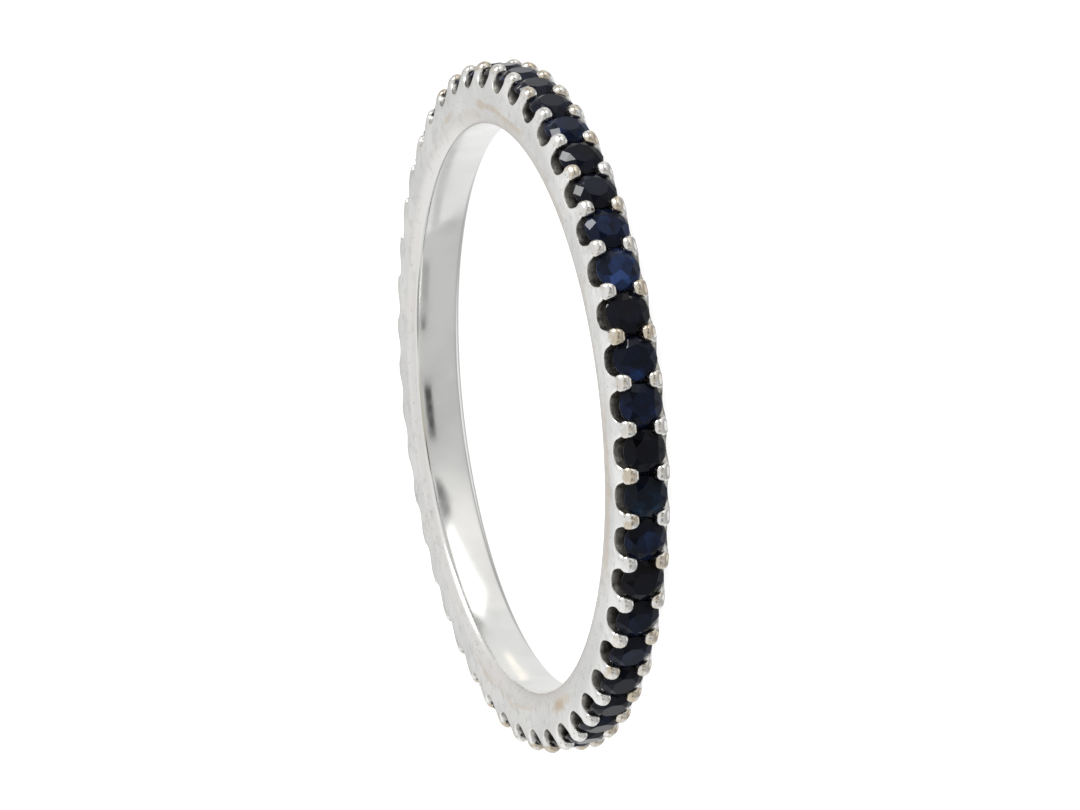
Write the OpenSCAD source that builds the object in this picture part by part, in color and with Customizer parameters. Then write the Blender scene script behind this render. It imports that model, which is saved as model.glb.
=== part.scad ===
// A full eternity ring: one cast band of white gold whose two rows of claws
// stand between U-shaped notches, and a row of round brilliants all the way
// round, each held at its girdle by the four claws beside it.
// The ring lies on its side, with its axis along Z and its lower side face on z = 0.
// All sizes are in millimetres.

/* [Band] */
// Inside diameter, where the finger goes
finger_d = 17; // [14:0.1:22]
// Width of the band along the finger
band_w = 1.66; // [1.56:0.02:2]
// Metal left between the finger and the points of the stones
floor_t = 0.98; // [0.7:0.02:1.6]
// How far the rounding of the inner edges runs up the sides
edge_run = 0.5; // [0.2:0.05:0.55]
// How much the rounding of the inner edges narrows the band
edge_drop = 0.25; // [0.05:0.01:0.35]

/* [Stones] */
// Diameter of a stone at its girdle
stone_d = 1.23; // [1:0.01:1.5]
// Smallest gap between neighbouring stones
stone_gap = 0.1; // [0.1:0.01:0.2]
// Width of the table, as a share of the stone's diameter
table_share = 0.56; // [0.5:0.01:0.62]
// Height of the crown, as a share of the stone's diameter
crown_share = 0.155; // [0.12:0.005:0.18]
// Depth of the pavilion, as a share of the stone's diameter
pavilion_share = 0.43; // [0.4:0.005:0.46]
// Thickness of the girdle
girdle_t = 0.036; // [0.02:0.002:0.06]
// Clearance between a stone and the metal cut for it
seat_gap = 0.04; // [0.03:0.005:0.05]

/* [Claws] */
// Length of a claw along the row
claw_w = 0.49; // [0.4:0.01:0.56]
// Thickness of a claw tip across the band
claw_t = 0.42; // [0.34:0.01:0.46]
// Gap across the band between the two rows of claws
groove_w = 0.54; // [0.46:0.01:0.6]
// Height of the claw tips above the tables of the stones
claw_rise = 0.17; // [0.12:0.01:0.3]
// Depth of the notches below the girdles
notch_drop = 0.36; // [0.25:0.01:0.45]

/* [Hidden] */

// Steps along each curve of the outlines
edge_steps = 4;
side_steps = 3;
tip_steps = 7;
floor_steps = 7;
corner_steps = 3;
// How far the plan of the claws stands above the metal they are cut from
lift = 0.01;
// How far below the notches the sides begin to lean in
lean_start = 0.12;
// How far cutters run past the metal
overrun = 0.5;

half_w = band_w / 2;
bore_r = finger_d / 2;

// Radii from the ring's axis, from the points of the stones outwards
culet_r = bore_r + floor_t;
girdle_low_r = culet_r + stone_d * pavilion_share;
girdle_top_r = girdle_low_r + girdle_t;
table_r = girdle_top_r + stone_d * crown_share;
claw_top_r = table_r + claw_rise;
notch_floor_r = girdle_low_r - notch_drop;
lean_r = notch_floor_r - lean_start;

// As many stones as the ring has room for, each turned by one step
stone_count = floor(180 / atan((stone_d + stone_gap) / 2 / girdle_low_r));
step = 360 / stone_count;

// The round tip of a claw, across the band
tip_r = claw_t / 2;
tip_y = groove_w / 2 + tip_r;
tip_x = claw_top_r - tip_r;

// The side leaves its flat below the notches and curves in to meet the tip
side_r = (pow(tip_x - lean_r, 2) + pow(half_w - tip_y, 2) - pow(tip_r, 2))
    / (2 * (half_w - tip_y - tip_r));
side_end = atan2(tip_y - half_w + side_r, tip_x - lean_r);

// A notch's round floor touches the straight flanks of both claws beside it
notch_x = (notch_floor_r - claw_w / 2) / (1 - sin(step / 2));
notch_r = notch_x - notch_floor_r;

// The flanks of a claw stand this far from the axis of the stone beside it, at its girdle
flank = girdle_low_r * tan(step / 2) - claw_w / 2 / cos(step / 2);

// The bearing is cut along the inner sides of the claws, clear of the girdle and the crown
// where the stone passes into a claw
inner = norm([flank, groove_w / 2]);
bearing_y = sqrt(pow(stone_d / 2, 2) - pow(flank, 2)) + seat_gap;
bearing_top_r = girdle_top_r + crown_share * (stone_d - 2 * inner) / (1 - table_share) + seat_gap;

// The valley between the rows follows the slope of the pavilions
valley_r = culet_r - seat_gap;

// The rounded corners of a claw, along the row
corner_r = claw_w / 2 - lift / 2;

function arc(x, y, rx, ry, from, to, n, first = 0) =
    [for (i = [first : n]) let (a = from + (to - from) * i / n) [x + rx * cos(a), y + ry * sin(a)]];
function mirrored(points) =
    [for (i = [len(points) - 2 : -1 : 0]) [points[i][0], -points[i][1]]];
function turned(points, a) =
    [for (p = points) [p[0] * cos(a) - p[1] * sin(a), p[0] * sin(a) + p[1] * cos(a)]];

// Half of the band's section, as [radius, height above the middle], from the bore
// round the inner edge, up the side, over the claw, past its bearing and down into the groove
half_section = concat(
    arc(bore_r + edge_run, half_w - edge_drop, edge_run, edge_drop, 180, 90, edge_steps),
    arc(lean_r, half_w - side_r, side_r, side_r, 90, side_end, side_steps),
    arc(tip_x, tip_y, tip_r, tip_r, side_end, -90, tip_steps, 1),
    [
        [bearing_top_r, groove_w / 2],
        [girdle_top_r + seat_gap, bearing_y],
        [valley_r + 2 * bearing_y * pavilion_share, bearing_y],
        [valley_r, 0]
    ]
);

// Half of a claw seen along the ring's axis, from its middle to its flank
half_claw = arc(claw_top_r + lift - corner_r, claw_w / 2 - corner_r, corner_r, corner_r, 0, 90, corner_steps);

// One claw and the notch after it, then the whole of the plan
claw_and_notch = concat(
    turned([for (i = [len(half_claw) - 1 : -1 : 0]) [half_claw[i][0], -half_claw[i][1]]], -step / 2),
    turned(half_claw, -step / 2),
    arc(notch_x, 0, notch_r, notch_r, -90 - step / 2, -270 + step / 2, floor_steps)
);
plan = [for (i = [0 : stone_count - 1]) each turned(claw_and_notch, i * step - 90)];

module band() {
    color("gainsboro") translate([0, 0, half_w]) intersection() {
        rotate_extrude($fn = 180) polygon(concat(half_section, mirrored(half_section)));
        translate([0, 0, -half_w - overrun]) linear_extrude(band_w + 2 * overrun) polygon(plan);
    }
}

// Rings of points of a round brilliant, as [x, y, height] about its own axis
function ring_of(n, r, z, turn = 0) = [for (i = [0 : n - 1]) let (a = i * 360 / n + turn)
    [r * cos(a), r * sin(a), z]];

// The height where a point lies on the flat of the kite facets beside it
function on_kite(r, r0, z0, r1, z1) = z0 + (z1 - z0) * (r0 - r * cos(22.5)) / (r0 - r1);

module brilliant() {
    r = stone_d / 2;
    crown = stone_d * crown_share;
    table = r * table_share;
    star = (r + table) / 2 * 1.02 / cos(22.5);
    half = r * 0.22;
    low = -girdle_t;
    point = low - stone_d * pavilion_share;
    points = concat(
        ring_of(8, table, crown),
        ring_of(8, star, on_kite(star, r, 0, table, crown), 22.5),
        ring_of(16, r, 0),
        ring_of(16, r, low),
        ring_of(8, half, on_kite(half, r, low, 0, point), 22.5),
        [[0, 0, point]]
    );
    // First point of each ring
    t = 0;
    s = 8;
    g = 16;
    b = 32;
    h = 48;
    c = 56;
    faces = concat(
        [[for (i = [7 : -1 : 0]) t + i]],
        [for (i = [0 : 7]) [t + i, t + (i + 1) % 8, s + i]],
        [for (i = [0 : 7]) [t + i, s + i, g + 2 * i, s + (i + 7) % 8]],
        [for (i = [0 : 7]) [s + i, g + 2 * i + 1, g + 2 * i]],
        [for (i = [0 : 7]) [s + i, g + (2 * i + 2) % 16, g + 2 * i + 1]],
        [for (i = [0 : 15]) [g + i, g + (i + 1) % 16, b + (i + 1) % 16, b + i]],
        [for (i = [0 : 7]) [b + 2 * i, b + 2 * i + 1, h + i]],
        [for (i = [0 : 7]) [b + 2 * i + 1, b + (2 * i + 2) % 16, h + i]],
        [for (i = [0 : 7]) [b + 2 * i, h + i, c, h + (i + 7) % 8]]
    );
    polyhedron(points, faces);
}

module stones() {
    color("midnightblue") for (i = [0 : stone_count - 1])
        translate([0, 0, half_w]) rotate(i * step - 90) translate([girdle_top_r, 0, 0])
            rotate([0, 90, 0]) brilliant();
}

band();
stones();
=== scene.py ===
import math
import random

import bmesh
import bpy
from mathutils import Matrix, Vector
from mathutils.geometry import delaunay_2d_cdt


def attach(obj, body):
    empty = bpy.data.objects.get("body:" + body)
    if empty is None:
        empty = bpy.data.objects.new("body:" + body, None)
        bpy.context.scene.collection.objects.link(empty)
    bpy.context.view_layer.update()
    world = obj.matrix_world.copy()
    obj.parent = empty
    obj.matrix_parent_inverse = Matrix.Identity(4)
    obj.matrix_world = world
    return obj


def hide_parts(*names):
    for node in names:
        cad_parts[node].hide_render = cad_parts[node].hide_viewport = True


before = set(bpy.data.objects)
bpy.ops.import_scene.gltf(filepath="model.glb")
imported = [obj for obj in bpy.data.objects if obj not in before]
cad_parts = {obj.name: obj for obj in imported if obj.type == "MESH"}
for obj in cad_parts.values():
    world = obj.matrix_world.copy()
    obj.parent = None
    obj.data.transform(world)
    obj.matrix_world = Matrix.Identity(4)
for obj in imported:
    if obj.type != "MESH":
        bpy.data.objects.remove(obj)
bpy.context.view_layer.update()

# Sizes in millimetres, as in the part's source
MM = 0.001
FINGER_D = 17.0
BAND_W = 1.66
FLOOR_T = 0.98
EDGE_RUN = 0.5
EDGE_DROP = 0.25
STONE_D = 1.23
STONES = 47
TABLE_SHARE = 0.56
CROWN_SHARE = 0.155
PAVILION_SHARE = 0.43
GIRDLE_T = 0.036
CLAW_T = 0.42
GROOVE_W = 0.54
CLAW_RISE = 0.17
NOTCH_DROP = 0.36
SEAT_GAP = 0.04
LEAN_START = 0.12

# The stones and claws as they show, tight together; in the solids they are smaller and keep clear
STONE_SHOWN = 1.34
STONE_LIFT = 0.03
CLAW_W = 0.54
# How far the claw tips stay inside the solids' box
TOP_INSET = 0.006
# How much wider the bore is at its ends than in its middle
DOME = 0.04

HALF_W = BAND_W / 2
BORE_R = FINGER_D / 2
CULET_R = BORE_R + FLOOR_T
GIRDLE_LOW_R = CULET_R + STONE_D * PAVILION_SHARE
GIRDLE_TOP_R = GIRDLE_LOW_R + GIRDLE_T
TABLE_R = GIRDLE_TOP_R + STONE_D * CROWN_SHARE
CLAW_TOP_R = TABLE_R + CLAW_RISE - TOP_INSET
NOTCH_FLOOR_R = GIRDLE_LOW_R - NOTCH_DROP
LEAN_R = NOTCH_FLOOR_R - LEAN_START
VALLEY_R = CULET_R - SEAT_GAP
VALLEY_SLOPE = 2 * PAVILION_SHARE
STEP = math.radians(360 / STONES)

# The outside of the claws along the row: the round corners, and the neck above the notches
CORNER_R = 0.225
NECK_W = 0.45
# Where the inner edge's rounding ends on the side faces
FOOT_R = BORE_R + EDGE_RUN
# Between these radii the metal between two notches turns into a claw
CLAW_FROM_R = 9.72
CLAW_FULL_R = 10.2
# The inner sides of the claws lean over the stones by this much, between these radii
INNER_LEAN = 0.02
LEAN_FROM_R = 10.1
LEAN_FULL_R = 10.3

# How far each rounding runs in and how far it drops, at the rims of the notches and on the claws
OUTER_RUN = (0.025, 0.14)
OUTER_DROP = (0.03, 0.16)
INNER_RUN = (0.02, 0.17)
INNER_DROP = (0.02, 0.22)

# Rows of points on the side face: how far outside its foot, and how many points
SIDE_ROWS = ((0.13, 13), (0.26, 13), (0.38, 13), (0.49, 17), (0.56, 17))
# How far the rows stay from the notches
ROW_MARGIN = 0.02
# The grid of points over the metal between the notches, and how far it stays from its outline
GRID_R = 9.62
GRID_STEP = 0.055
GRID_ROWS = 12
GRID_HALF = 0.6
GRID_COLUMNS = 17
GRID_MARGIN = (0.07, 0.19)
# Points across the valley's bottom, rows of points above it and on the claws' inner sides, and how
# far the rows stay from the outline
VALLEY_STEPS = 9
VALLEY_ROWS = (0.09, VALLEY_SLOPE * GROOVE_W / 2)
VALLEY_MARGIN = 0.05
INNER_ROWS = (9.8, 9.95, 10.1)
INNER_COLUMNS = (-0.1, 0.0, 0.1)
# Rows down the straight walls, which are at least so high, and turns round the rounding below them
WALL_ROWS = (0.12, 0.45, 1.0)
WALL_MIN = 0.01
INNER_TURNS = (66, 44, 22, 0)
# Points closer together than this are one
SAME_POINT = 0.0002
# What the triangulation keeps, only what lies inside the outline, and how fine it works
KEEP_INSIDE = 1
FINENESS = 1e-9

# How deep in a recess the rims of the notches count, and how much less than that the claws do, whose
# inner sides come clear of the valley between these radii
RIM_RECESS = 0.8
CLAW_CLEAR = 0.8
CLEAR_FROM_R = 9.95
CLEAR_FULL_R = 10.25

# How far the tip of a claw stands out, aside and up by chance, and where it begins to
TIP_OUT = (-0.022, 0.0)
TIP_ASIDE = (-0.016, 0.016)
TIP_RISE = (-0.012, 0.006)
BEND_FROM_R = 9.95
BEND_FULL_R = 10.3
# Seeds of the random draws
CLAW_SEED = 47
STONE_SEED = 11

# Steps along the curves of the band
CORNER_STEPS = 7
NOTCH_STEPS = 10
RIM_STEPS = 6
EDGE_STEPS = 13
BORE_STEPS = 10
ROUND_STEPS = 13


def smooth(x, low, high):
    """0 below low, 1 above high, and an even curve between them."""
    t = min(1.0, max(0.0, (x - low) / (high - low)))
    return t * t * (3 - 2 * t)


def mix(a, b, t):
    return a + (b - a) * t


def spread(low, high, count):
    return [low + (high - low) * i / (count - 1) for i in range(count)]


def polar(r, a):
    return (r * math.cos(a), r * math.sin(a))


TIP_R = CLAW_T / 2
TIP_X = CLAW_TOP_R - TIP_R
TIP_Y = GROOVE_W / 2 + TIP_R
SIDE_R = ((TIP_X - LEAN_R) ** 2 + (HALF_W - TIP_Y) ** 2 - TIP_R ** 2) / (2 * (HALF_W - TIP_Y - TIP_R))


def side_z(r):
    """Height of the side face above the ring's middle: flat, then leaning in towards the claw tips."""
    if r <= LEAN_R:
        return HALF_W
    return HALF_W - SIDE_R + math.sqrt(SIDE_R ** 2 - (r - LEAN_R) ** 2)


def inner_z(r):
    """Height of the surface between the rows: the valley's slope, then the claws' inner sides."""
    claw_side = GROOVE_W / 2 - INNER_LEAN * smooth(r, LEAN_FROM_R, LEAN_FULL_R)
    return min(claw_side, (r - VALLEY_R) / VALLEY_SLOPE)


def claw_height(r):
    """0 in the body of the band and 1 on the claws."""
    return smooth(r, CLAW_FROM_R, CLAW_FULL_R)


def skyline():
    """The ring's outline in plan round one claw, in the claw's own frame, from notch to notch."""
    half = CLAW_W / 2
    cx, cy = CLAW_TOP_R - CORNER_R, half - CORNER_R
    points = [(CLAW_TOP_R, 0.0)]
    for a in spread(0, math.pi / 2, CORNER_STEPS):
        points.append((cx + CORNER_R * math.cos(a), cy + CORNER_R * math.sin(a)))
    s = math.sin(STEP / 2)
    notch_x = (NOTCH_FLOOR_R - NECK_W / 2) / (1 - s)
    notch_r = notch_x - NOTCH_FLOOR_R
    notch = (notch_x * math.cos(STEP / 2), notch_x * s)
    for t in (0.33, 0.67):
        points.append((mix(cx, notch[0], t), mix(half, NECK_W / 2, smooth(t, 0, 1))))
    for a in spread(math.radians(270), math.pi + STEP / 2, NOTCH_STEPS):
        points.append((notch[0] + notch_r * math.cos(a), notch[1] + notch_r * math.sin(a)))
    return [(x, -y) for x, y in reversed(points[1:])] + points


def normals(points):
    """Outward normals of the outline, which runs round the metal anticlockwise."""
    out = []
    last = len(points) - 1
    for i in range(len(points)):
        if i in (0, last):
            # at a notch's middle the outline runs straight across
            out.append(polar(1, -STEP / 2 if i == 0 else STEP / 2))
            continue
        ax, ay = points[i - 1]
        bx, by = points[i + 1]
        dx, dy = bx - ax, by - ay
        d = math.hypot(dx, dy)
        out.append((dy / d, -dx / d))
    return out


SKY = skyline()
SKY_N = normals(SKY)
HEIGHTS = [claw_height(math.hypot(x, y)) for x, y in SKY]


def inset(i, amount):
    """A point of the outline, moved into the metal."""
    (x, y), (nx, ny) = SKY[i], SKY_N[i]
    return (x - nx * amount, y - ny * amount)


def inside_metal(x, y, margin):
    """Whether a plan point lies in the metal, at least a margin inside the outline."""
    r, a = math.hypot(x, y), abs(math.atan2(y, x))
    if a > STEP / 2:
        return False
    if r < NOTCH_FLOOR_R - margin:
        return True
    for px, py in SKY:
        if (x - px) ** 2 + (y - py) ** 2 < margin ** 2:
            return False
    # crossings of a ray towards the outside with the outline
    crossings = 0
    for (ax, ay), (bx, by) in zip(SKY, SKY[1:]):
        if (ay > y) != (by > y) and x < ax + (y - ay) * (bx - ax) / (by - ay):
            crossings += 1
    return crossings % 2 == 1


def across(r, count):
    """Points along an arc from one side of the cell to the other."""
    return [polar(r, a) for a in spread(-STEP / 2, STEP / 2, count)]


def along_side(sign, radii):
    """Points along one side of the cell."""
    return [polar(r, sign * STEP / 2) for r in radii]


class Cell:
    """One claw with half a notch on either side, built upright at angle 0.

    Each point has a tone: how deep it lies in a recess, and how far it belongs to the claw."""

    def __init__(self):
        self.points = []
        self.tones = []
        self.faces = []
        self.found = {}

    def add(self, x, y, z, recess, claw):
        key = (round(x, 6), round(y, 6), round(z, 6))
        if key not in self.found:
            self.found[key] = len(self.points)
            self.points.append((x, y, z))
            self.tones.append((recess, claw))
        return self.found[key]

    def face(self, *corners):
        kept = [c for i, c in enumerate(corners) if c != corners[i - 1]]
        if len(kept) > 2:
            self.faces.append(tuple(kept))

    def strip(self, rows):
        for low, high in zip(rows, rows[1:]):
            for i in range(len(low) - 1):
                self.face(low[i], low[i + 1], high[i + 1], high[i])

    def cap(self, outline, inside, height, tone, up):
        """A height field over a plan outline, triangulated with points inside it."""
        verts = [Vector(p) for p in outline] + [Vector(p) for p in inside]
        ring = list(range(len(outline)))
        points, _, triangles, _, _, _ = delaunay_2d_cdt(verts, [], [ring], KEEP_INSIDE, FINENESS)
        made = []
        for x, y in points:
            r = math.hypot(x, y)
            made.append(self.add(x, y, height(r), *tone(r)))
        for t in triangles:
            corners = [made[i] for i in t]
            self.face(*(corners if up else reversed(corners)))

    def plan_of(self, row):
        return [self.points[v][:2] for v in row]


def outer_rows(cell):
    """The rim, rounded over into the walls of the notches and the ends of the claws."""
    rows = []
    for phi in spread(0, math.pi / 2, RIM_STEPS):
        row = []
        for i, h in enumerate(HEIGHTS):
            x, y = inset(i, mix(*OUTER_RUN, h) * (1 - math.sin(phi)))
            z = side_z(math.hypot(x, y)) - mix(*OUTER_DROP, h) * (1 - math.cos(phi))
            row.append(cell.add(x, y, z, RIM_RECESS * (1 - h) * smooth(phi, 0.6, 1.3), h))
        rows.append(row)
    return rows


def wall_rows(cell, top_row):
    """Straight across the band, from the rounded rim towards its middle."""
    rows = []
    for t in WALL_ROWS:
        row = []
        for i, h in enumerate(HEIGHTS):
            top = cell.points[top_row[i]][2]
            low = inner_z(math.hypot(*inset(i, mix(*INNER_RUN, h)))) + mix(*INNER_DROP, h)
            x, y = SKY[i]
            recess = (1 - h ** 3) * smooth(t, -0.3, 0.5)
            row.append(cell.add(x, y, mix(top, min(low, top - WALL_MIN), t), recess, h))
        rows.append(row)
    return rows


def inner_rows(cell):
    """Rounded over again, down to the inner sides of the claws and the valley."""
    rows = []
    for degrees in INNER_TURNS:
        phi = math.radians(degrees)
        row = []
        for i, h in enumerate(HEIGHTS):
            x, y = inset(i, mix(*INNER_RUN, h) * (1 - math.sin(phi)))
            z = inner_z(math.hypot(x, y)) + mix(*INNER_DROP, h) * (1 - math.cos(phi))
            row.append(cell.add(x, y, z, 1 - CLAW_CLEAR * h ** 3, h))
        rows.append(row)
    return rows


def side_face(cell, rim):
    """The side face, from the rounded inner edge out to the rim."""
    limit = math.hypot(*rim[0]) - ROW_MARGIN
    rows = [(FOOT_R + out, count) for out, count in SIDE_ROWS if FOOT_R + out < limit]
    radii = [r for r, _ in rows]
    outline = across(FOOT_R, ROUND_STEPS) + along_side(1, radii) + list(reversed(rim))
    outline += along_side(-1, reversed(radii))
    inside = []
    for r, count in rows:
        inside += across(r, count)[1:-1]
    for k in range(GRID_ROWS):
        r = GRID_R + GRID_STEP * k
        for y in spread(-GRID_HALF, GRID_HALF, GRID_COLUMNS):
            if inside_metal(r, y, mix(*GRID_MARGIN, claw_height(r))):
                inside.append((r, y))
    cell.cap(outline, inside, side_z, lambda r: (0.0, claw_height(r)), True)


def valley_face(cell, rim):
    """The inner sides of the claws and the valley between the rows."""
    outline = across(VALLEY_R, VALLEY_STEPS) + list(reversed(rim))
    inside = []
    for out in VALLEY_ROWS:
        row = across(VALLEY_R + out, ROUND_STEPS)[1:-1]
        inside += [p for p in row if inside_metal(*p, VALLEY_MARGIN)]
    for r in INNER_ROWS:
        inside += [(r, y) for y in INNER_COLUMNS]

    def tone(r):
        return (1 - CLAW_CLEAR * smooth(r, CLEAR_FROM_R, CLEAR_FULL_R), claw_height(r))

    cell.cap(outline, inside, inner_z, tone, False)


def bore_profile():
    """The rounded inner edge, which meets the bore's dome smoothly, and the bore down to its middle."""
    dome_z = HALF_W - EDGE_DROP
    end = math.atan(2 * DOME / dome_z * EDGE_DROP / EDGE_RUN)
    run = (EDGE_RUN - DOME) / math.cos(end)
    drop = EDGE_DROP / (1 - math.sin(end))
    profile = []
    for t in spread(math.pi / 2, math.pi - end, EDGE_STEPS):
        profile.append((FOOT_R + run * math.cos(t), HALF_W - drop + drop * math.sin(t)))
    for z in spread(dome_z, 0, BORE_STEPS)[1:]:
        profile.append((BORE_R + DOME * (z / dome_z) ** 2, z))
    return profile


def half_cell():
    """The upper half of a cell, above the ring's middle plane."""
    cell = Cell()
    rows = outer_rows(cell)
    rows += wall_rows(cell, rows[-1])
    rows += inner_rows(cell)
    cell.strip(rows)
    side_face(cell, cell.plan_of(rows[0]))
    valley_face(cell, cell.plan_of(rows[-1]))
    bore = []
    for r, z in bore_profile():
        bore.append([cell.add(x, y, z, 0.0, 0.0) for x, y in reversed(across(r, ROUND_STEPS))])
    cell.strip(bore)
    return cell


def add_object(name, mesh, material):
    mesh.materials.append(material)
    ob = bpy.data.objects.new(name, mesh)
    bpy.context.scene.collection.objects.link(ob)
    return ob


def face_outwards(mesh, merge=None):
    """Turns all faces outwards, after points closer together than a distance are made one."""
    bm = bmesh.new()
    bm.from_mesh(mesh)
    if merge:
        bmesh.ops.remove_doubles(bm, verts=bm.verts, dist=merge)
    bmesh.ops.recalc_face_normals(bm, faces=bm.faces)
    bm.to_mesh(mesh)
    bm.free()


def build_band(material):
    """All cells round the ring, each mirrored below the middle plane."""
    cell = half_cell()
    chance = random.Random(CLAW_SEED)
    points, tones, faces = [], [], []
    for k in range(STONES):
        turn = (k + 0.5) * STEP - math.pi / 2
        c, s = math.cos(turn), math.sin(turn)
        for side in (1, -1):
            # every claw is finished by hand, so no two are quite alike
            out = chance.uniform(*TIP_OUT)
            aside = chance.uniform(*TIP_ASIDE)
            rise = chance.uniform(*TIP_RISE)
            wear = chance.random()
            start = len(points)
            for (x, y, z), (recess, claw) in zip(cell.points, cell.tones):
                amount = smooth(x, BEND_FROM_R, BEND_FULL_R)
                px = x + out * amount
                py = y + aside * amount
                pz = (z + rise * amount) * side
                points.append(Vector((px * c - py * s, px * s + py * c, pz + HALF_W)) * MM)
                tones.append((recess, claw, wear, 1.0))
            for corners in cell.faces:
                corners = [start + i for i in corners]
                faces.append(corners if side == 1 else corners[::-1])
    mesh = bpy.data.meshes.new("band_metal")
    mesh.from_pydata(points, [], faces)
    attribute = mesh.color_attributes.new("tone", "FLOAT_COLOR", "POINT")
    for point, tone in zip(attribute.data, tones):
        point.color = tone
    face_outwards(mesh, merge=SAME_POINT * MM)
    mesh.shade_smooth()
    return add_object("band_metal", mesh, material)


# Colours of the stones, and the stations where the photo shows each; the hidden ones take turns
DEEP = (0.0030, 0.0040, 0.0090)
NAVY = (0.0025, 0.0055, 0.0170)
BLUE = (0.0026, 0.0070, 0.0240)
ROYAL = (0.0060, 0.0130, 0.0400)
TEAL = (0.0025, 0.0090, 0.0190)
BLACK = (0.0016, 0.0016, 0.0024)
BY_STATION = {
    10: DEEP, 9: DEEP, 8: DEEP, 7: NAVY, 6: BLACK, 5: BLACK, 4: NAVY, 3: ROYAL, 2: BLACK, 1: BLUE,
    0: BLUE, 46: BLACK, 45: TEAL, 44: NAVY, 43: BLACK, 42: NAVY, 41: NAVY, 40: DEEP, 39: DEEP, 38: NAVY,
}
OTHERS = (NAVY, DEEP, BLUE, BLACK, NAVY, TEAL, BLACK, BLUE)

# How much lighter or darker single facets are painted, how much more painted light those away from the key
# light get, and how far a stone may sit askew, in degrees
FACET_GLOW = (0.45, 0.7, 1.0, 1.0, 1.5, 2.2)
FAR_GLOW = 1.3
ASKEW = 2.5
# Half of a facet's turn about the stone's axis, how far the stars reach out, and where the lower halves end
HALF_FACET = 22.5
STAR_REACH = 1.02
HALVES_END = 0.22


def on_kite(r, r0, z0, r1, z1):
    """The height where a point lies on the flat of the kite facets beside it."""
    return z0 + (z1 - z0) * (r0 - r * math.cos(math.radians(HALF_FACET))) / (r0 - r1)


def ring(n, radius, z, turn=0.0):
    """A ring of points about a stone's axis."""
    return [(*polar(radius, math.radians(i * 360 / n + turn)), z) for i in range(n)]


def brilliant():
    """Points and faces of a round brilliant, point down, its girdle's upper edge at height 0."""
    r = STONE_SHOWN / 2
    crown = STONE_SHOWN * CROWN_SHARE
    table = r * TABLE_SHARE
    star = (r + table) / 2 * STAR_REACH / math.cos(math.radians(HALF_FACET))
    half = r * HALVES_END
    low = -GIRDLE_T
    tip = low - STONE_SHOWN * PAVILION_SHARE
    points = ring(8, table, crown) + ring(8, star, on_kite(star, r, 0, table, crown), HALF_FACET)
    points += ring(16, r, 0) + ring(16, r, low)
    points += ring(8, half, on_kite(half, r, low, 0, tip), HALF_FACET) + [(0, 0, tip)]

    # the first point of each ring: table, stars, girdle above and below, lower halves, tip
    t, s, g, b, h, c = 0, 8, 16, 32, 48, 56
    faces = [tuple(range(8))]
    for i in range(8):
        n, p = (i + 1) % 8, (i + 7) % 8
        faces.append((t + i, s + i, t + n))
        faces.append((t + i, s + p, g + 2 * i, s + i))
        faces.append((s + i, g + 2 * i, g + 2 * i + 1))
        faces.append((s + i, g + 2 * i + 1, g + (2 * i + 2) % 16))
        faces.append((b + 2 * i, h + i, b + 2 * i + 1))
        faces.append((b + 2 * i + 1, h + i, b + (2 * i + 2) % 16))
        faces.append((b + 2 * i, h + p, c, h + i))
    for i in range(16):
        n = (i + 1) % 16
        faces.append((g + i, b + i, b + n, g + n))
    return points, faces


def build_stone(station, material, chance):
    """One stone in its place in the row, turned and tilted a little by chance."""
    turn = Matrix.Rotation(chance.uniform(0, math.pi / 4), 4, "Z")
    tilt_x = Matrix.Rotation(math.radians(chance.uniform(-ASKEW, ASKEW)), 4, "X")
    tilt_y = Matrix.Rotation(math.radians(chance.uniform(-ASKEW, ASKEW)), 4, "Y")
    # the stone's axis runs outwards from the ring's
    angle = station * STEP - math.pi / 2
    outwards = Matrix.Rotation(math.pi / 2, 4, "Y")
    place = Matrix.Translation((0, 0, HALF_W)) @ Matrix.Rotation(angle, 4, "Z")
    place = place @ Matrix.Translation((GIRDLE_TOP_R + STONE_LIFT, 0, 0)) @ outwards
    place = place @ tilt_x @ tilt_y @ turn
    points, faces = brilliant()
    name = f"stone_{station:02d}"
    mesh = bpy.data.meshes.new(name)
    mesh.from_pydata([(place @ Vector(p)) * MM for p in points], [], faces)
    face_outwards(mesh)
    colour = BY_STATION.get(station, OTHERS[station % len(OTHERS)])
    tint_and_glow = mesh.color_attributes.new("tint_and_glow", "FLOAT_COLOR", "CORNER")
    for face in mesh.polygons:
        # painted light: each facet's colour is made lighter or darker as if light that has gone round
        # inside the stone came out of some facets more than of others, and most of it on the side away from
        # the key light, which stands towards +X
        glow = chance.choice(FACET_GLOW) * (1 - FAR_GLOW * (face.normal.x - math.cos(angle)))
        for corner in face.loop_indices:
            tint_and_glow.data[corner].color = (*(min(1.0, v * glow) for v in colour), 1.0)
    return add_object(name, mesh, material)


# Which sockets of a mix node hold its two values and its result
MIX_SOCKETS = {"RGBA": (6, 7, 2), "FLOAT": (2, 3, 0)}


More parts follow.
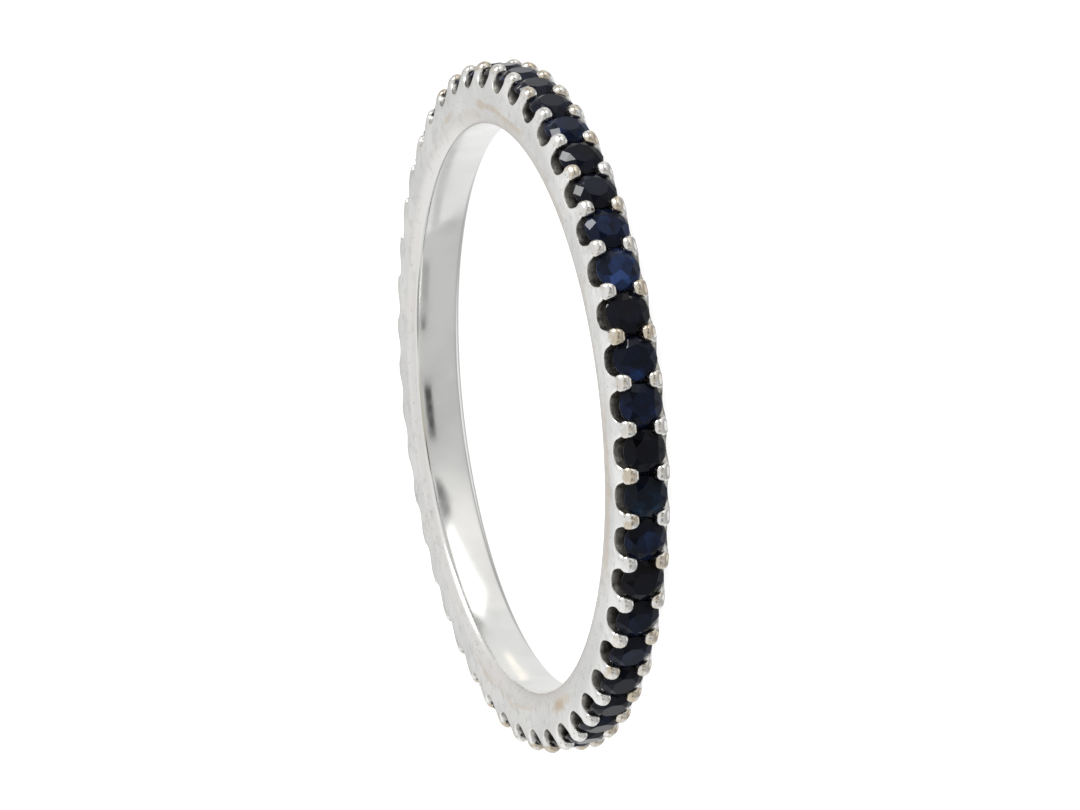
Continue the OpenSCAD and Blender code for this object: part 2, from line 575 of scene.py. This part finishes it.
class Graph:
    """Makes the nodes of one material, or of the sky."""

    def __init__(self, tree, coordinates):
        self.nodes = tree.nodes
        self.links = tree.links
        self.where = tree.nodes.new("ShaderNodeTexCoord").outputs[coordinates]

    def put(self, socket, value):
        """Links a socket to another one, or sets it to a number, a vector or a colour."""
        if isinstance(value, bpy.types.NodeSocket):
            self.links.new(value, socket)
        elif socket.type == "RGBA":
            socket.default_value = (*value, 1.0)
        else:
            socket.default_value = value

    def node(self, kind, operation=None, **inputs):
        """A new node; an input's name is written with _ for its spaces."""
        n = self.nodes.new(kind)
        if operation:
            n.operation = operation
        for name, value in inputs.items():
            self.put(n.inputs[name.replace("_", " ")], value)
        return n

    def math(self, operation, *values):
        n = self.node("ShaderNodeMath", operation)
        for socket, value in zip(n.inputs, values):
            self.put(socket, value)
        return n.outputs[0]

    def times(self, first, *others):
        for value in others:
            first = self.math("MULTIPLY", first, value)
        return first

    def dot(self, direction):
        """How far a place or a direction lies along another."""
        n = self.node("ShaderNodeVectorMath", "DOT_PRODUCT")
        self.put(n.inputs[0], self.where)
        self.put(n.inputs[1], direction)
        return n.outputs["Value"]

    def split(self, colour):
        return self.node("ShaderNodeSeparateColor", Color=colour).outputs

    def noise(self, per_mm, detail=2.0, rough=0.5):
        """A noise between 0 and 1 with so many waves to a millimetre."""
        n = self.node("ShaderNodeTexNoise", Vector=self.where, Scale=per_mm / MM, Detail=detail,
                      Roughness=rough)
        return n.outputs["Fac"]

    def cells(self, per_mm):
        """Cells, so many to a millimetre: the distance to each one's middle, and its own colour."""
        n = self.node("ShaderNodeTexVoronoi", Vector=self.where, Scale=per_mm / MM)
        return n.outputs["Distance"], self.split(n.outputs["Color"])

    def ramp(self, value, low, high, out_low=0.0, out_high=1.0):
        """An even curve from one result at a low value to another at a high one."""
        n = self.node("ShaderNodeMapRange", Value=value, From_Min=low, From_Max=high, To_Min=out_low,
                      To_Max=out_high)
        n.interpolation_type = "SMOOTHSTEP"
        return n.outputs["Result"]

    def blend(self, amount, a, b, kind="RGBA"):
        """One colour turning into another, or one number where the kind is FLOAT."""
        n = self.nodes.new("ShaderNodeMix")
        n.data_type = kind
        first, second, result = MIX_SOCKETS[kind]
        self.put(n.inputs["Factor"], amount)
        self.put(n.inputs[first], a)
        self.put(n.inputs[second], b)
        return n.outputs[result]

    def blend_value(self, amount, a, b):
        return self.blend(amount, a, b, "FLOAT")


def new_material(name):
    material = bpy.data.materials.new(name)
    material.use_nodes = True
    return material, Graph(material.node_tree, "Object"), material.node_tree.nodes["Principled BSDF"]


# Where the plating is worn thin on the upper side face: the angle from +X towards +Y, the radius, the
# half length and half width in millimetres, and how much of the gold beneath shows
WORN_PLACES = (
    (-8, 9.11, 1.15, 0.13, 0.60),
    (-19, 9.02, 1.15, 0.11, 0.60),
    (-97, 9.05, 1.30, 0.24, 0.50),
    (-113, 9.05, 1.40, 0.26, 0.50),
    (-165, 9.05, 0.40, 0.30, 1.00),
    (154, 9.08, 0.60, 0.11, 0.50),
    (16, 9.15, 0.45, 0.10, 0.45),
)

# What the metal's surface reflects: the plating, the gold beneath it on the sides and on the claws,
# its inner edge, specks, dust, casting pits, and the dull casting in the notches, darkened there by painted
# shade
PLATING_GREY = (0.74, 0.74, 0.735)
PLATING_PALE = (0.84, 0.84, 0.83)
PLATING_THIN = (0.74, 0.67, 0.58)
GOLD_ON_SIDES = (0.62, 0.49, 0.35)
GOLD_ON_CLAWS = (0.56, 0.47, 0.34)
EDGE_TONE = (0.73, 0.71, 0.69)
SPECK = (0.55, 0.54, 0.52)
DUST = (0.30, 0.27, 0.23)
PIT = (0.12, 0.10, 0.08)
CAST_AND_SHADE_DARK = (0.07, 0.066, 0.06)
CAST_AND_SHADE_PALE = (0.62, 0.60, 0.55)

# How uneven the outline of a worn place is, and where it fades, both as shares of its half size
WOBBLE = 0.4
FADE_FROM = 0.4
FADE_TO = 1.4

# Roughness where it differs from the polish
EDGE_ROUGH = 0.30
CAST_ROUGH = 0.40
PIT_ROUGH = 0.6


def between(g, value, rise, fall, rest=0.0):
    """A ramp up between two distances and down to the rest between two others, in millimetres."""
    up = g.ramp(value, rise[0] * MM, rise[1] * MM)
    return g.times(up, g.ramp(value, fall[0] * MM, fall[1] * MM, 1.0, rest))


def worn_place(g, angle, radius, length, width):
    """1 inside a patch of the given size, whose outline a fine noise makes uneven."""
    a = math.radians(angle)
    wobble = g.ramp(g.noise(1.5, 3.0, 0.6), 0.25, 0.75, -WOBBLE, WOBBLE)
    outwards = (math.cos(a), math.sin(a), 0.0)
    onwards = (-math.sin(a), math.cos(a), 0.0)
    parts = []
    for direction, middle, half in ((outwards, radius, width), (onwards, 0.0, length)):
        off = g.math("MULTIPLY_ADD", g.dot(direction), 1 / (half * MM), -middle / half)
        edge = g.math("ADD", g.math("ABSOLUTE", off), wobble)
        parts.append(g.ramp(edge, FADE_FROM, FADE_TO, 1.0, 0.0))
    return g.times(*parts)


def white_gold():
    """Bright plated white gold: polished, a little mottled, darker and rougher in the notches."""
    material, g, shader = new_material("white_gold_polished")
    tone = g.nodes.new("ShaderNodeAttribute")
    tone.attribute_name = "tone"
    parts = g.split(tone.outputs["Color"])
    recess, claw, wear = parts["Red"], parts["Green"], parts["Blue"]

    # distance from the ring's axis, and how nearly a place faces along it
    in_plan = g.node("ShaderNodeVectorMath", "MULTIPLY")
    g.put(in_plan.inputs[0], g.where)
    g.put(in_plan.inputs[1], (1.0, 1.0, 0.0))
    length = g.node("ShaderNodeVectorMath", "LENGTH")
    g.put(length.inputs[0], in_plan.outputs["Vector"])
    radius = length.outputs["Value"]
    normal = g.nodes.new("ShaderNodeNewGeometry").outputs["Normal"]
    facing_up = g.node("ShaderNodeSeparateXYZ", Vector=normal).outputs["Z"]
    side = g.ramp(g.math("ABSOLUTE", facing_up), 0.6, 0.95)

    # the plating is a little uneven, thin in a wandering ring outside the inner edges, and worn
    # through to the warmer gold in places
    cloudy = g.noise(0.42, 3.0)
    base = g.blend(g.ramp(cloudy, 0.35, 0.65), PLATING_GREY, PLATING_PALE)
    wander = g.math("ADD", radius, g.ramp(g.noise(0.38), 0.3, 0.7, -0.22 * MM, 0.22 * MM))
    near_edge = between(g, wander, (8.86, 8.98), (9.10, 9.24), 0.06)
    thin = g.times(g.ramp(g.noise(0.23, 4.0, 0.6), 0.52, 0.60), near_edge, side)
    base = g.blend(thin, base, PLATING_THIN)
    for *place, strength in WORN_PLACES:
        upper = g.ramp(facing_up, 0.6, 0.95, 0.0, strength)
        base = g.blend(g.times(worn_place(g, *place), upper), base, GOLD_ON_SIDES)
    inner_edge = between(g, radius, (8.545, 8.60), (8.90, 9.12))
    base = g.blend(g.times(inner_edge, g.ramp(cloudy, 0.3, 0.7, 0.5, 1.0)), base, EDGE_TONE)
    specks = g.ramp(g.noise(2.8, 3.0, 0.6), 0.50, 0.72, 0.0, 0.5)
    base = g.blend(g.times(specks, side), base, SPECK)
    worn = g.times(g.ramp(wear, 0.1, 0.8, 0.15, 0.80), g.ramp(claw, 0.85, 1.0))
    worn = g.times(worn, g.ramp(g.noise(3.2), 0.36, 0.56))
    base = g.blend(worn, base, GOLD_ON_CLAWS)

    # dust on the side faces, and small casting pits on the claws
    distance, colour = g.cells(6.5)
    dust = g.times(g.ramp(distance, 0.10, 0.26, 1.0, 0.0), g.ramp(colour["Green"], 0.72, 0.76, 0.0, 0.55))
    base = g.blend(g.times(dust, side), base, DUST)
    distance, colour = g.cells(2.6)
    pits = g.times(g.ramp(distance, 0.10, 0.2, 1.0, 0.0), g.ramp(colour["Red"], 0.62, 0.66))
    pits = g.times(pits, g.ramp(claw, 0.7, 1.0))
    base = g.blend(pits, base, PIT)

    # the notches keep the dull grey brown of the casting, and painted shade darkens it the deeper a place
    # lies in a recess
    dull_and_shade = g.blend(g.ramp(g.noise(2.4, 5.0, 0.65), 0.32, 0.66), CAST_AND_SHADE_DARK, CAST_AND_SHADE_PALE)
    depth = g.ramp(recess, 0.08, 0.75)
    g.put(shader.inputs["Base Color"], g.blend(depth, base, dull_and_shade))
    g.put(shader.inputs["Metallic"], 1.0)

    rough = g.ramp(g.noise(0.9, 4.0, 0.6), 0.3, 0.75, 0.09, 0.22)
    for place, value in ((inner_edge, EDGE_ROUGH), (depth, CAST_ROUGH), (pits, PIT_ROUGH)):
        rough = g.blend_value(place, rough, value)
    g.put(shader.inputs["Roughness"], rough)

    # fine grain, strong in the notches, over long waves, with the pits sunk in
    grain = g.times(g.noise(5.2, 4.0, 0.7), g.blend_value(depth, 0.16, 2.0))
    height = g.math("SUBTRACT", g.math("ADD", grain, g.noise(0.52, 3.0)), pits)
    bump = g.node("ShaderNodeBump", Strength=0.25, Distance=0.02 * MM, Height=height)
    g.put(shader.inputs["Normal"], bump.outputs["Normal"])
    return material


# The darker veils inside the stones, and the darkest painted shade of the pavilion's facets
SILK = (0.002, 0.003, 0.008)
FACET_SHADE_DARK = (0.0012, 0.0016, 0.0040)
# Sapphire's refractive index, and the level of its gloss, which would be in full at 0.5
SAPPHIRE_IOR = 1.77
SAPPHIRE_GLOSS = 0.07


def sapphire():
    """Deep blue sapphire: sharp reflections from flat facets, with fine wear."""
    material, g, shader = new_material("sapphire_dark_blue")
    # the stones' own colours, with the painted light of their facets
    tint_and_glow = g.nodes.new("ShaderNodeAttribute")
    tint_and_glow.attribute_name = "tint_and_glow"
    base = g.blend(g.ramp(g.noise(1.5, 3.0), 0.35, 0.75), tint_and_glow.outputs["Color"], SILK)
    # painted light and shade: the pavilion's facets, as if seen through the crown, split it into lighter
    # and darker chips
    _, colour = g.cells(3.0)
    base = g.blend(g.ramp(colour["Red"], 0.25, 0.9, 0.0, 0.7), base, FACET_SHADE_DARK)
    g.put(shader.inputs["Base Color"], base)
    g.put(shader.inputs["Roughness"], g.ramp(g.noise(5.0, 3.0), 0.35, 0.8, 0.02, 0.10))
    g.put(shader.inputs["IOR"], SAPPHIRE_IOR)
    g.put(shader.inputs["Specular IOR Level"], SAPPHIRE_GLOSS)
    bump = g.node("ShaderNodeBump", Strength=0.05, Distance=0.005 * MM, Height=g.noise(4.0))
    g.put(shader.inputs["Normal"], bump.outputs["Normal"])
    return material


# The floor is pale by its own light, so that it shows evenly white as in the photo
FLOOR_HALF = 1.5
FLOOR_DARK = (0.36, 0.36, 0.36)
FLOOR_PALE = (0.38, 0.38, 0.38)
FLOOR_GLOW = 0.92


def pale_floor():
    material, g, shader = new_material("floor_white")
    g.put(shader.inputs["Base Color"], g.blend(g.noise(0.06, 3.0), FLOOR_DARK, FLOOR_PALE))
    g.put(shader.inputs["Roughness"], 0.9)
    g.put(shader.inputs["Specular IOR Level"], 0.0)
    g.put(shader.inputs["Emission Color"], (1.0, 1.0, 1.0))
    g.put(shader.inputs["Emission Strength"], FLOOR_GLOW)
    return material


def add_floor():
    corners = [(x * FLOOR_HALF, y * FLOOR_HALF, 0) for x, y in ((-1, -1), (1, -1), (1, 1), (-1, 1))]
    mesh = bpy.data.meshes.new("floor")
    mesh.from_pydata(corners, [], [(0, 1, 2, 3)])
    floor = add_object("floor", mesh, pale_floor())
    # polished metal sees the tent and its table, not this plain ground
    floor.visible_glossy = False
    floor.visible_shadow = False


# The photo's camera as it was fitted to the ring, in millimetres: its place, and the directions to the
# photo's right, its bottom and into it. The fit has X towards the camera and Y towards the photo's top.
CAMERA_PLACE = (245.93, -3.22, 82.51)
CAMERA_RIGHT = (0.31584, -0.11378, -0.94197)
CAMERA_DOWN = (-0.04802, -0.99343, 0.10389)
CAMERA_AHEAD = (-0.9476, 0.01242, -0.31922)
FIT = Matrix.Rotation(math.radians(2.466 - 90), 3, "Z")
PHOTO_W = 1080
FOCAL_PX = 8677
SENSOR = 36.0


def add_camera():
    """The camera at the photo's place. Its own axes point right, up and back."""
    right, down, ahead = (FIT @ Vector(v) for v in (CAMERA_RIGHT, CAMERA_DOWN, CAMERA_AHEAD))
    place = FIT @ Vector(CAMERA_PLACE) + Vector((0, 0, HALF_W))
    data = bpy.data.cameras.new("photo_camera")
    data.sensor_fit = "HORIZONTAL"
    data.sensor_width = SENSOR
    data.lens = SENSOR * FOCAL_PX / PHOTO_W
    data.clip_start = 0.01
    data.clip_end = 10.0
    camera = bpy.data.objects.new("photo_camera", data)
    bpy.context.scene.collection.objects.link(camera)
    axes = Matrix((right, -down, -ahead)).transposed().to_4x4()
    camera.matrix_world = Matrix.Translation(place * MM) @ axes
    bpy.context.scene.camera = camera


# The lights stand beyond the top of the photo, in the fit's directions and in metres
KEY_FROM = (0.12, 0.87, 0.46)
KEY_AWAY = 0.35
KEY_SIZE = 0.17
KEY_POWER = 0.45
# The sparkle stands just behind the key light
SPARKLE_AWAY = KEY_AWAY * 1.02
SPARKLE_POWER = 1.8


def add_light(name, away, power):
    """A square soft light that faces the ring."""
    light = bpy.data.lights.new(name, "AREA")
    light.energy = power
    light.shape = "SQUARE"
    light.size = KEY_SIZE
    ob = bpy.data.objects.new(name, light)
    ob.location = (FIT @ Vector(KEY_FROM)).normalized() * away
    ob.rotation_mode = "QUATERNION"
    ob.rotation_quaternion = (-ob.location).to_track_quat("-Z", "Y")
    bpy.context.scene.collection.objects.link(ob)
    return ob


# Tones of what the metal mirrors: the tent, the table before and behind the ring and under it, the gap
# between tent and table, the table's back edge and the two soft boxes
TENT_LOW = (0.72, 0.72, 0.71)
TENT_HIGH = (0.95, 0.95, 0.95)
TENT_TOP = (0.90, 0.90, 0.90)
TENT_CORNER = (1.05, 1.05, 1.05)
NEAR_DIM = (0.63, 0.63, 0.625)
NEAR_PALE = (1.00, 0.99, 0.97)
FAR_PALE = (0.97, 0.97, 0.97)
FAR_DIM = (0.89, 0.89, 0.88)
UNDER_DARK = (0.50, 0.50, 0.50)
UNDER_BRIGHT = (1.05, 1.05, 1.05)
GAP_PALE = (0.88, 0.88, 0.87)
GAP_DIM = (0.61, 0.585, 0.56)
BACK_EDGE = (0.68, 0.68, 0.68)
BOX_GLOW = (1.6, 1.6, 1.58)
SMALL_BOX_GLOW = (1.25, 1.2, 1.1)
# Where it lies, by direction in the fit's frame; the table's first part is before the ring
BEFORE = (0.8, 0.0, -0.6)
BRIGHT_CORNER = (-0.55, -0.70, 0.48)
BOX_EDGE = (-0.122, 0.394, 0.911)
BOX_END = (0.643, 0.182, 0.744)
SMALL_BOX = (-0.611, 0.743, -0.274)
# Dark things round the camera: its opening in the tent, and the stands of the boxes. Each has its
# direction, the cosines of its outer and inner limits, and its tone.
DARK_THINGS = (
    ((0.948, 0.0, 0.318), 0.92, 0.98, (0.60, 0.575, 0.50)),
    ((0.948, 0.236, 0.21), 0.986, 0.996, (0.08, 0.08, 0.08)),
    ((0.66, -0.70, 0.25), 0.94, 0.98, (0.38, 0.38, 0.37)),
    ((0.82, 0.56, -0.02), 0.970, 0.992, (0.24, 0.24, 0.24)),
    ((-0.05, 0.99, -0.08), 0.990, 0.997, (0.35, 0.35, 0.34)),
)
# Low dark gaps between the tent and the table in front of the ring, seen in the far end of its bore
DARK_GAPS = (
    ((0.985, -0.06, -0.137), 0.972, 0.993, (0.06, 0.06, 0.06)),
    ((0.766, -0.636, -0.093), 0.9955, 0.9995, (0.20, 0.20, 0.20)),
    ((0.575, -0.80, -0.12), 0.968, 0.988, (0.42, 0.42, 0.42)),
)


def along(g, direction):
    """How far a direction of the sky points along another, which is given in the fit's frame."""
    return g.dot(tuple((FIT @ Vector(direction)).normalized()))


def zone(g, direction, low, high):
    """1 where the cosine of the angle to a direction is above high, and 0 where it is under low."""
    return g.ramp(along(g, direction), low, high)


def band_of(g, value, low, high, soft):
    """1 between two limits of a value and 0 outside them."""
    return g.times(g.ramp(value, low, low + soft), g.ramp(value, high - soft, high, 1.0, 0.0))


def tent_tone(g, up):
    """A grey tent, lighter above, with one bright corner."""
    tent = g.blend(g.ramp(up, 0.15, 0.6), TENT_LOW, TENT_HIGH)
    tent = g.blend(g.ramp(up, 0.68, 0.90), tent, TENT_TOP)
    return g.blend(zone(g, BRIGHT_CORNER, 0.70, 0.95), tent, TENT_CORNER)


def table_tone(g, up, beside, before):
    """A pale table, before the ring and behind it, with a bright spot in a dark one straight below."""
    near = g.blend(g.ramp(beside, 0.15, 0.66), NEAR_DIM, NEAR_PALE)
    far = g.blend(g.ramp(beside, -0.2, 0.3), FAR_PALE, FAR_DIM)
    table = g.blend(before, far, near)
    table = g.blend(g.ramp(up, -0.80, -0.50), UNDER_DARK, table)
    return g.blend(g.ramp(up, -0.96, -0.86), UNDER_BRIGHT, table)


def add_sky():
    """The studio that the metal mirrors, tied to the ring and not to the camera."""
    world = bpy.data.worlds.new("studio")
    world.use_nodes = True
    bpy.context.scene.world = world
    g = Graph(world.node_tree, "Generated")
    up = along(g, (0.0, 0.0, 1.0))
    beside = along(g, (0.0, 1.0, 0.0))
    before = zone(g, BEFORE, 0.20, 0.25)
    sky = g.blend(g.ramp(up, 0.06, 0.16), table_tone(g, up, beside, before), tent_tone(g, up))

    # the gap between table and tent, and the table's back edge behind the ring
    gap_tone = g.blend(g.ramp(beside, -0.6, -0.1), GAP_PALE, GAP_DIM)
    sky = g.blend(band_of(g, up, -0.08, 0.14, 0.06), sky, gap_tone)
    back_edge = g.times(band_of(g, up, -0.26, -0.15, 0.03), g.ramp(before, 0.0, 1.0, 1.0, 0.0))
    back_edge = g.times(back_edge, g.ramp(beside, 0.0, 0.2, 1.0, 0.0))
    sky = g.blend(back_edge, sky, BACK_EDGE)

    # a tall soft box beside the ring, cut off slantwise, and a small one behind it
    box = g.times(zone(g, BOX_EDGE, -0.005, 0.015), zone(g, BOX_END, -0.006, 0.014))
    box = g.times(box, g.ramp(up, -0.03, 0.02, 1.0, 0.0))
    sky = g.blend(box, sky, BOX_GLOW)
    small_box = g.times(zone(g, SMALL_BOX, 0.968, 0.978), band_of(g, up, -0.305, -0.24, 0.015))
    sky = g.blend(small_box, sky, SMALL_BOX_GLOW)

    for direction, low, high, tone in DARK_THINGS:
        sky = g.blend(zone(g, direction, low, high), sky, tone)
    in_gap = band_of(g, up, -0.205, -0.07, 0.035)
    for direction, low, high, tone in DARK_GAPS:
        sky = g.blend(g.times(zone(g, direction, low, high), in_gap), sky, tone)
    g.put(g.nodes["Background"].inputs["Color"], sky)


# The band and the stones
band = build_band(white_gold())
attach(band, "root")
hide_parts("band")

gem = sapphire()
chance = random.Random(STONE_SEED)
gems = bpy.data.collections.new("gems")
for station in range(STONES):
    stone = build_stone(station, gem, chance)
    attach(stone, "root")
    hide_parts("stones")
    gems.objects.link(stone)

# The studio
add_floor()
add_camera()
add_sky()
add_light("key", KEY_AWAY, KEY_POWER)
# a brighter light gives the stones alone their glints
sparkle = add_light("sparkle", SPARKLE_AWAY, SPARKLE_POWER)
sparkle.light_linking.receiver_collection = gems

view = bpy.context.scene.view_settings
view.view_transform = "Standard"
view.look = "None"
view.exposure = 0.0
